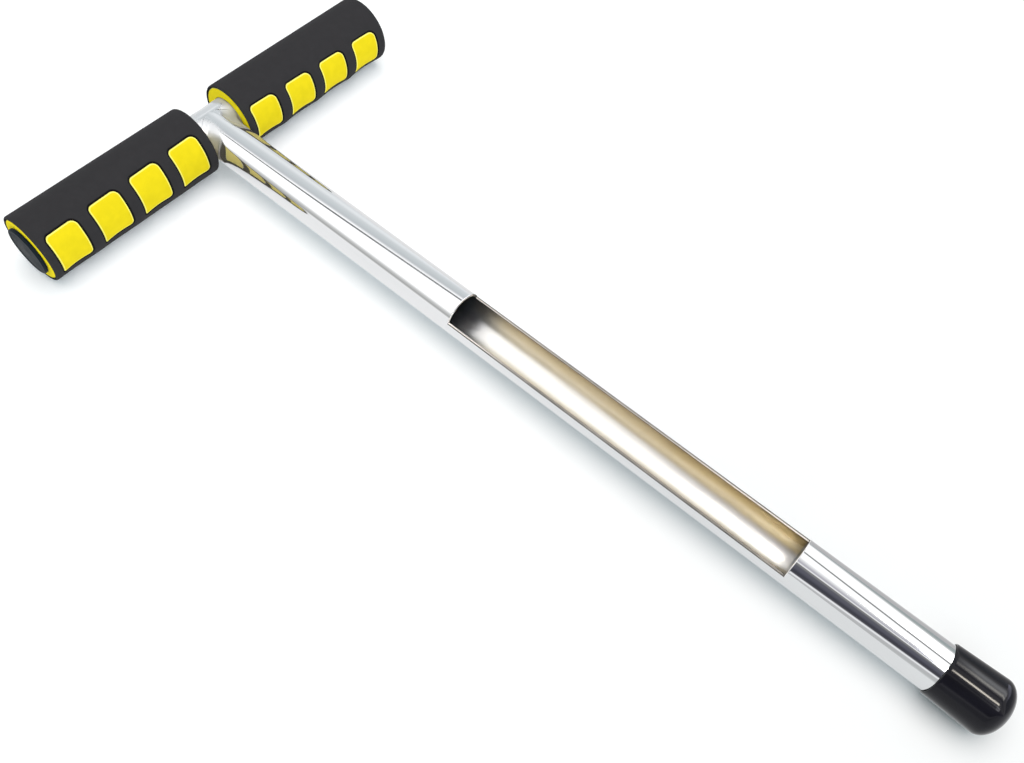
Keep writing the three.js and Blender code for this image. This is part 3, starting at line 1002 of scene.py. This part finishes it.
class GripSheet:
    """A grip's surface laid out flat: points as (turn, along) and their faces."""

    def __init__(self, side, inward):
        self.size, self.side = sizes(), side
        self.flat, self.faces, self.loops, self.known = [], [], [], {}
        self.pitch, windows = self.size.window_pitch, self.size.window_count
        self.middles = [(i - (windows - 1) / 2) * self.pitch for i in range(windows)]
        self.cell_turns = np.linspace(-CELL_TURN, CELL_TURN, CELL_ROUND)
        self.cell_stations = np.linspace(-self.pitch / 2, self.pitch / 2, CELL_ALONG)
        for middle in self.middles:
            self.cell(middle, inward)
        self.back()

    def vertex(self, turn, along):
        """The number of a point, which is made unless it is there."""
        key = (round(turn % (2 * math.pi) * 1e5) % round(2 * math.pi * 1e5), round(along * 1e7))
        if key not in self.known:
            self.known[key] = len(self.flat)
            self.flat.append((turn, along))
        return self.known[key]

    def ring(self, points, middle):
        turns = np.arcsin(np.clip(points[:, 0] / self.size.grip_radius, -1, 1))
        return [self.vertex(t, middle + q) for t, q in zip(turns, points[:, 1])]

    def cell(self, middle, inward):
        """A window's cell: rings from its edge to the border and, for the core, to its middle."""
        border = cell_border(self.cell_turns, self.cell_stations)
        edge = window_edge(border, self.side)
        way = (border - edge) / np.linalg.norm(border - edge, axis=1, keepdims=True)
        rings = [edge, *(edge + way * d for d in OUTSIDE_RINGS)]
        last = rings[-1]
        rings += [last + (border - last) * share for share in (0.25, 0.5, 0.75, 1.0)]
        rings = [self.ring(r, middle) for r in rings]
        for here, there in zip(rings, rings[1:]):
            self.faces += strip_faces(here, there)
        self.loops.append(rings[0])
        if inward:
            inner = [edge - way * d for d in INSIDE_RINGS]
            inner += [inner[-1] * (1 - share) for share in (0.2, 0.4, 0.6, 0.8, 0.93)]
            inner = [rings[0], *(self.ring(r, middle) for r in inner)]
            for here, there in zip(inner, inner[1:]):
                self.faces += strip_faces(there, here)
            last, centre = inner[-1], self.vertex(0.0, middle)
            self.faces += [(a, b, centre) for a, b in zip(last, last[1:] + last[:1])]

    def back(self):
        """The plain back between the cells' two sides, and the loops at both ends."""
        turns = np.linspace(CELL_TURN, 2 * math.pi - CELL_TURN, BACK_ROUND)
        along = sorted({round(m + s, 9) for m in self.middles for s in self.cell_stations})
        rows = [[self.vertex(t, a) for t in turns] for a in along]
        for low, high in zip(rows, rows[1:]):
            self.faces += strip_faces(low, high, closed=False)
        reach = len(self.middles) * self.pitch / 2
        self.turns = np.array([*self.cell_turns[:-1], *turns[:-1]])
        self.ends = [[self.vertex(t, end) for t in self.turns] for end in (-reach, reach)]

    def distances(self):
        """Distance of each point from the nearest window's edge."""
        turns, along = np.array(self.flat).T
        folded = np.angle(np.exp(1j * turns))
        front = np.abs(folded) < math.pi / 2
        p = self.size.grip_radius * np.where(front, np.sin(folded), np.sign(folded) * 2)
        return np.min([window_distance(p, along - m, self.side) for m in self.middles], axis=0)

    def grooves(self):
        """Depth of the finger grooves at each point: full in front, fading out behind."""
        turns, along = np.array(self.flat).T
        fade = 1 - eased(np.abs(np.angle(np.exp(1j * turns))), *GROOVE_FADE)
        along = along - own(self.side, "shift")
        nearest = np.min([np.abs(along - m) for m in self.middles], axis=0)
        across = np.clip(nearest / (self.pitch / 2), 0, 1)
        return self.size.groove_depth * fade * (1 - across**2) ** 1.5


def grip_place(turns, along, radii, side):
    """Points of a grip in the row frame."""
    size = sizes()
    along = np.broadcast_to(along, turns.shape)
    turns = turns + own(side, "turn") + size.grip_twist * along / size.grip_length
    off_axis = size.grip_start + size.grip_length / 2 + along
    return placed(np.stack([radii * np.cos(turns), side * off_axis, radii * np.sin(turns)], axis=1))


def layer_mesh(name, sheet, walls, rims, rows, open_windows, line_radius):
    """A layer of a grip: its outer and inner wall, closed by rows of (radius, along) at both ends.
    The windows' edge line is carried on to the rows that are near the line radius."""
    turns, along = np.array(sheet.flat).T
    past = len(turns)
    points = [point for wall in walls for point in grip_place(turns, along, wall, sheet.side)]
    rims = list(np.maximum(rims, 0)) * 2
    faces = [*sheet.faces, *(tuple(i + past for i in f) for f in sheet.faces)]
    for loop in sheet.loops if open_windows else ():
        faces += strip_faces(loop, [i + past for i in loop])
    for way, loop in zip((-1, 1), sheet.ends):
        before = loop
        for radius, place in rows:
            made = list(range(len(points), len(points) + len(loop)))
            points.extend(grip_place(sheet.turns, way * place, radius, sheet.side))
            rims += [0.0 if abs(radius - line_radius) < END_LINE else 1.0] * len(made)
            faces += strip_faces(before, made)
            before = made
        faces += strip_faces(before, [i + past for i in loop])
    mesh = mesh_of(name, points, faces)
    attribute(mesh, "rim_distance", rims)
    return outward(mesh)


def skin_mesh(name, side):
    """The black skin: grooved outside, open at the windows, with rounded lips and ends."""
    size = sizes()
    sheet = GripSheet(side, inward=False)
    distance = sheet.distances()
    lip = size.window_lip
    near = np.clip(lip - np.maximum(distance, 0), 0, lip)
    outer = size.grip_radius - sheet.grooves() - (lip - np.sqrt(lip**2 - near**2))
    inside = size.grip_radius - size.skin_thickness
    end, edge, support, inset = size.grip_length / 2, size.skin_edge, 0.0003, 0.00005
    rows = [(size.grip_radius, end - edge - support)]
    rows += arc((size.grip_radius - edge, end - edge), edge, 0, 90, 6)
    rows += [(inside + inset, end)]
    return layer_mesh(name, sheet, (outer, inside), distance, rows, True, inside)


def core_mesh(name, side):
    """The yellow core: plain under the skin and swelling almost flush in each window."""
    size = sizes()
    sheet = GripSheet(side, inward=True)
    distance = sheet.distances()
    flush = size.grip_radius - sheet.grooves() - size.window_recess
    reach = np.clip(-distance / size.window_shoulder, 0, 1)
    outer = size.core_radius + (flush - size.core_radius) * np.sqrt(1 - (1 - reach) ** 2)
    end, edge, bore_edge, support = size.grip_length / 2, size.core_edge, 0.0004, 0.0006
    rows = arc((size.core_radius - edge, end - edge), edge, 0, 90, 6)
    rows += [(size.core_radius - edge - support, end), (size.grip_bore + support, end)]
    rows += arc((size.grip_bore + bore_edge, end - bore_edge), bore_edge, 90, 180, 3)
    walls = outer, size.grip_bore
    return layer_mesh(name, sheet, walls, -distance, rows, False, size.core_radius)


class SOILPROBE_OT_grips(bpy.types.Operator):
    """Make the foam grips, each a yellow core in a black skin with finger windows"""

    bl_idname = "soil_probe.grips"
    bl_label = "Foam Grips"

    def execute(self, context):
        black, yellow = black_foam(), yellow_foam()
        for name, side in SIDES.items():
            skin = skin_mesh(f"grip_skin_foam_{name}", side)
            skin = piece(skin.name, skin, "probe", [f"grip_skin_{name}"], "black_foam", black)
            core = core_mesh(f"grip_core_foam_{name}", side)
            core = piece(core.name, core, "probe", [f"grip_core_{name}"], "yellow_foam", yellow)
        return {"FINISHED"}


class SOILPROBE_OT_end_plugs(bpy.types.Operator):
    """Make the end plugs, each a dished head on a hollow ribbed shank"""

    bl_idname = "soil_probe.end_plugs"
    bl_label = "End Plugs"

    def execute(self, context):
        size = sizes()
        edge, chamfer, burr, rim_width, dish_slope = 0.0007, 0.0005, 0.0002, 0.0016, 0.0006
        top, head, wall = size.plug_head, size.plug_radius, size.plug_wall
        shank, hollow = size.plug_shank_radius, size.plug_shank_radius - size.plug_wall
        outline = [
            (0, -wall),
            (hollow - edge, -wall),
            *arc((hollow - edge, -wall - edge), edge, 90, 0),
            (hollow, -size.plug_shank),
            (shank - chamfer, -size.plug_shank),
            (shank, chamfer - size.plug_shank),
            (shank, 0),
            (head - burr, 0),
            (head, burr),
            *arc((head - edge, top - edge), edge, 0, 90, 6),
            (head - rim_width, top),
            (head - rim_width - dish_slope, top - size.plug_dish),
            (head - rim_width - 2 * dish_slope, top - size.plug_dish),
            (0, top - size.plug_dish * 0.6),
        ]
        outline = supported(outline, False)
        pitch = size.plug_shank / size.rib_count
        values = {
            "Count": size.rib_count,
            "Start": (0, 0, -pitch / 2),
            "Pitch": (0, 0, -pitch),
            "Ring Radius": shank,
            "Rib Radius": size.plug_rib,
            "Finish": plug_material(),
        }
        seat = size.bar_length / 2 + size.plug_seat
        for name, side in SIDES.items():
            plain = turned(f"end_plug_{name}", outline, False, PLUG_SIDES, plug_material())
            mesh = made_by_nodes(plain, rib_tree(), values)
            mesh.name = f"end_plug_moulded_{name}"
            set_along(mesh, ACROSS * side, MEETING + ACROSS * side * seat)
            piece(mesh.name, mesh, "probe", [f"end_plug_{name}"], "plug_plastic")
        return {"FINISHED"}


def lip_wave(mesh):
    """Waves the dipped lip a little, fading out along the cap."""
    size = sizes()
    points = np.array([vertex.co for vertex in mesh.vertices])
    turn = np.arctan2(points[:, 1], points[:, 0])
    fade_length = 0.012
    fade = np.clip(1 - (points[:, 2] - size.cap_mouth) / fade_length, 0, 1)
    wave = np.sin(2 * turn + 0.6) + 0.45 * np.sin(5 * turn + 1.3)
    points[:, 2] += np.maximum(size.cap_wave * wave + size.cap_wave, 0) * fade**2
    mesh.vertices.foreach_set("co", points.astype(np.float32).ravel())


class SOILPROBE_OT_tip_cap(bpy.types.Operator):
    """Make the dipped tip cap with its wavy lip"""

    bl_idname = "soil_probe.tip_cap"
    bl_label = "Tip Cap"

    def execute(self, context):
        size = sizes()
        bore, mouth, wall, corner = size.cap_bore, size.cap_mouth, size.cap_mouth_wall, 0.0005
        end_gap, tip_inset = 0.0003, 0.0002
        inner_end = size.tube_length + end_gap
        inner_tip = size.tube_radius - size.taper_depth - tip_inset
        shoulder, widening = size.cap_tip - size.cap_nose, size.cap_tip_wall - wall
        side = [
            (bore + wall + widening * s, mouth + (shoulder - mouth) * s)
            for s in np.linspace(0, 1, 25)[1:-1]
        ]
        nose = [
            ((bore + size.cap_tip_wall) * math.cos(t), shoulder + size.cap_nose * math.sin(t))
            for t in np.radians(np.linspace(0, 90, 19))[:-1]
        ]
        outline = [
            (0, inner_end),
            (inner_tip, inner_end),
            *arc((inner_tip, inner_end - corner), corner, 90, 10),
            (bore, size.tube_length - size.taper_length),
            *[(bore, mouth + s) for s in np.linspace(0.0145, 0.0004, 16)],
            *arc((bore + wall / 2, mouth), wall / 2, 180, 360, 8),
            *side,
            *nose,
            (0, size.cap_tip),
        ]
        mesh = turned("tip_cap_vinyl", outline, False, CAP_SIDES, cap_material())
        lip_wave(mesh)
        set_along(mesh, ALONG, MEETING)
        piece("tip_cap_vinyl", mesh, "cap", ["tip_cap"], "cap_vinyl")
        return {"FINISHED"}


# Stage

# A colour ramp ends at 1, so the lights are written at twice what it holds
RAMP_GAIN = 2.0
# What the chrome sees above the floor, by the angle over the probe from its left side to its
# right: by the handle a grey horizon, a wide soft box and a grey wall, and by the tip a dark
# gap, the soft box's end and a second box on the right. A single level is a grey
HANDLE_LIGHT = (
    (-4, 1.36), (1, 1.3), (6, 0.80, 0.80, 0.79), (11, 0.50, 0.50, 0.49), (17, 0.72, 0.72, 0.71),
    (22, 0.80, 0.80, 0.79), (30, 1.30, 1.30, 1.29), (36, 1.7), (79.5, 1.7), (80.5, 1.5),
    (82, 0.16, 0.16, 0.17), (88, 0.16, 0.16, 0.17), (89.5, 1.5), (93, 1.5),
    (99, 1.0, 1.01, 1.03), (104, 0.73, 0.76, 0.79), (122, 0.81, 0.86, 0.88),
    (137, 0.88, 0.92, 0.94), (152, 1.08, 1.11, 1.13), (160, 1.10, 1.13, 1.14),
    (180, 0.92, 0.95, 0.97),
)
TIP_LIGHT = (
    (-6, 0.92, 0.94, 0.94), (2, 0.64, 0.65, 0.65), (14, 0.66, 0.66, 0.67),
    (17, 1.15, 1.15, 1.17), (22, 1.15, 1.15, 1.17), (24, 0.30, 0.30, 0.32),
    (27, 0.085, 0.085, 0.10), (35, 0.07, 0.07, 0.09), (44, 0.13, 0.13, 0.165),
    (53, 0.15, 0.15, 0.18), (58, 0.27, 0.27, 0.28), (62, 0.30, 0.295, 0.29), (63.5, 1.15),
    (66, 1.15), (68, 0.60, 0.58, 0.66), (72, 0.66, 0.65, 0.70), (82, 1.2), (85, 1.45),
    (105, 1.5), (107, 0.28), (111, 0.28), (113, 1.5), (156, 1.5), (162, 0.9),
    (167, 0.48, 0.53, 0.53), (180, 0.45, 0.50, 0.50),
)
# What only the cap sees, in the same angle: middle, half width, level, tint, and from where to
# where along the probe
CAP_LIGHT = (
    (86, 5.6, 24.0, (1.0, 0.92, 0.80), 0.135, 0.225),
    (76, 6.0, 4.5, (0.96, 0.96, 1.0), 0.187, 0.50),
    (66, 6.0, 3.5, (0.95, 0.95, 1.0), 0.200, 0.50),
    (123, 9.0, 7.0, (1.0, 0.97, 0.89), 0.150, 0.28),
    (139, 18.0, 3.4, (0.96, 0.98, 1.0), 0.155, 0.28),
    (178, 34.0, 1.5, (0.88, 0.88, 1.1), 0.215, 0.60),
)
# Painted reflection: the glow that the paper gives the metal, under the probe and off to its right
PAPER_BY_HANDLE = (1.15, 1.16, 1.17), (0.95, 0.96, 0.97)
PAPER_BY_TIP = (0.95, 0.98, 0.99), (0.40, 0.40, 0.42)


def ramp(value, stops):
    """A colour ramp over an angle, from (degrees, red, green, blue) stops."""
    share = ranged(value, -180, 180, 0, 1, "LINEAR")
    made = node(value.id_data, "ShaderNodeValToRGB", {"Fac": share})
    elements = made.color_ramp.elements
    while len(elements) > 1:
        elements.remove(elements[-1])
    for i, (degrees, *level) in enumerate(stops):
        place = (degrees + 180) / 360
        if i == 0:
            elements[0].position = place
        spot = elements[0] if i == 0 else elements.new(place)
        spot.color = (*(c / RAMP_GAIN for c in (level * 3)[:3]), 1)
    return made.outputs["Color"]


def light_world():
    """A plain soft sky for the surfaces, and for the chrome the studio round the probe."""
    stage = bpy.context.scene.soil_probe_stage
    world = bpy.data.worlds.new("Studio Sky")
    bpy.context.scene.world = world
    world.use_nodes = True
    tree = world.node_tree
    tree.nodes.clear()
    parts = parts_of(node(tree, "ShaderNodeTexCoord").outputs["Generated"])
    away = parts["X"]
    over = math_node("ARCTAN2", parts["Z"], math_node("MULTIPLY", parts["Y"], -1.0))
    over = math_node("MULTIPLY", over, 180 / math.pi)
    # The boxes' edges slant a little along the probe
    handle_slant = ranged(over, 50, 90, 0.0, 200.0)
    tip_slant = ranged(over, 20, 110, 96.0, -100.0, "LINEAR")
    handle_shift = math_node("MULTIPLY", math_node("ADD", away, 0.51), handle_slant)
    tip_shift = math_node("MULTIPLY", math_node("SUBTRACT", away, 0.14), tip_slant)
    tip_over = math_node("SUBTRACT", over, tip_shift)
    handle = ramp(math_node("SUBTRACT", over, handle_shift), HANDLE_LIGHT)
    studio = mixed(ranged(away, -0.3, 0.02, 0, 1), handle, ramp(tip_over, TIP_LIGHT))
    # Near the weld the soft box is dimmer
    studio = blended("DARKEN", studio, ranged(away, -0.62, -0.47, 0.98, 1.8))
    # Bright tubes at the tip end, which the glossy cap shows as streaks, and a blue wall
    for middle, half_width, level, tint, start, stop in CAP_LIGHT:
        off = math_node("ABSOLUTE", math_node("SUBTRACT", tip_over, middle))
        tube = ranged(off, 0, half_width, level, 0)
        for ends in ((start, start + 0.02, 0, 1), (stop, stop + 0.03, 1, 0)):
            tube = math_node("MULTIPLY", tube, ranged(away, *ends))
        studio = blended("ADD", studio, mixed(tube, (0, 0, 0), tint, False))
    seen = node(tree, "ShaderNodeBackground", {"Color": studio, "Strength": RAMP_GAIN})
    soft = node(tree, "ShaderNodeBackground", {"Color": stage.sky, "Strength": stage.sky_strength})
    white = node(tree, "ShaderNodeBackground", {"Color": (1, 1, 1)})
    rays = node(tree, "ShaderNodeLightPath").outputs
    lit = mixed_shader(rays["Is Glossy Ray"], soft, seen)
    lit = mixed_shader(rays["Is Camera Ray"], lit, white)
    node(tree, "ShaderNodeOutputWorld", {"Surface": lit})


def floor_material():
    """Pale paper, white to the camera. The metal sees it greyer far off to the right."""
    stage = bpy.context.scene.soil_probe_stage
    material, tree, shader = blank_material("Paper Sweep", Roughness=1.0, Specular_IOR_Level=0.0)
    give(shader, Base_Color=mixed(noise(tree, 60.0, 3), scaled(stage.floor, 0.995), stage.floor))
    rays = node(tree, "ShaderNodeLightPath").outputs
    parts = parts_of(object_place(tree))
    # Painted light: the paper is brighter by the handle
    bright = tuple(c * stage.floor_gain for c in stage.floor_white)
    shown = mixed(ranged(parts["X"], -0.2, 0.15, 0, 1), bright, stage.floor_white)
    white = node(tree, "ShaderNodeBsdfDiffuse", {"Color": shown})
    # Painted reflection: the paper glows for the metal
    off_right = ranged(parts["Y"], 0.025, 0.06, 0, 1)
    ends = [mixed(off_right, *pair) for pair in (PAPER_BY_HANDLE, PAPER_BY_TIP)]
    painted_reflection = mixed(ranged(parts["X"], -0.1, 0.12, 0, 1), *ends)
    seen = node(tree, "ShaderNodeEmission", {"Color": painted_reflection})
    sight = mixed_shader(rays["Is Camera Ray"], shader, white)
    share = math_node("MULTIPLY", rays["Is Glossy Ray"], 0.7)
    give(tree.nodes["Material Output"], Surface=mixed_shader(share, sight, seen))
    return material


def soft_light(name, strength, spread, direction, tint):
    """A wide soft lamp from one direction, which the metal doesn't show."""
    lamp = bpy.data.objects.new(name, bpy.data.lights.new(name, "SUN"))
    lamp.data.energy = strength
    lamp.data.angle = spread
    lamp.data.color = tint
    lamp.rotation_euler = Vector(direction).to_track_quat("Z", "Y").to_euler()
    lamp.visible_glossy = False
    bpy.context.scene.collection.objects.link(lamp)


class SOILPROBE_OT_stage(bpy.types.Operator):
    """Set the camera, the pale floor and the soft studio light"""

    bl_idname = "soil_probe.stage"
    bl_label = "Stage"

    def execute(self, context):
        scene, stage = context.scene, context.scene.soil_probe_stage
        scene.view_settings.view_transform = "Standard"
        camera = bpy.data.objects.new("Camera", bpy.data.cameras.new("Camera"))
        scene.collection.objects.link(camera)
        back = -Vector(stage.camera_sight).normalized()
        side = Vector(stage.camera_top).cross(back).normalized()
        turn = Matrix((side, back.cross(side), back)).transposed().to_4x4()
        camera.matrix_world = Matrix.Translation(stage.camera_place) @ turn
        camera.data.lens = stage.camera_lens
        camera.data.sensor_width = 36
        camera.data.clip_start = 0.01
        scene.camera = camera
        half = 3.0
        corners = [(-half, -half, 0), (half, -half, 0), (half, half, 0), (-half, half, 0)]
        mesh = mesh_of("floor", corners, [(0, 1, 2, 3)])
        mesh.materials.append(floor_material())
        floor = bpy.data.objects.new("floor", mesh)
        scene.collection.objects.link(floor)
        light_world()
        soft_light("Key Light", stage.key_strength, stage.key_spread, stage.key_from, stage.key)
        soft_light(
            "Fill Light", stage.fill_strength, stage.fill_spread, stage.fill_from, stage.fill
        )
        return {"FINISHED"}


PIECES = (
    SOILPROBE_OT_stage,
    SOILPROBE_OT_probe_tube,
    SOILPROBE_OT_crossbar,
    SOILPROBE_OT_grips,
    SOILPROBE_OT_end_plugs,
    SOILPROBE_OT_tip_cap,
)


class SOILPROBE_PT_panel(bpy.types.Panel):
    """Lists the probe's pieces and their sizes and colours"""

    bl_idname = "SOILPROBE_PT_panel"
    bl_label = "Soil Probe"
    bl_space_type = "VIEW_3D"
    bl_region_type = "UI"
    bl_category = "Soil Probe"

    def draw(self, context):
        for operator in PIECES:
            self.layout.operator(operator.bl_idname)
        for name, kind in GROUPS.items():
            box = self.layout.box()
            for value in kind.__annotations__:
                box.prop(getattr(context.scene, name), value)


GROUPS = {
    "soil_probe_sizes": SoilProbeSizes,
    "soil_probe_colours": SoilProbeColours,
    "soil_probe_stage": SoilProbeStage,
}
CLASSES = (*GROUPS.values(), *PIECES, SOILPROBE_PT_panel)


def register():
    for made in CLASSES:
        bpy.utils.register_class(made)
    for name, kind in GROUPS.items():
        setattr(bpy.types.Scene, name, PointerProperty(type=kind))


def unregister():
    for name in GROUPS:
        delattr(bpy.types.Scene, name)
    for made in reversed(CLASSES):
        bpy.utils.unregister_class(made)


def main():
    register()
    bpy.ops.soil_probe.stage()
    bpy.ops.soil_probe.probe_tube()
    bpy.ops.soil_probe.crossbar()
    bpy.ops.soil_probe.grips()
    bpy.ops.soil_probe.end_plugs()
    bpy.ops.soil_probe.tip_cap()


if __name__ == "__main__":
    main()
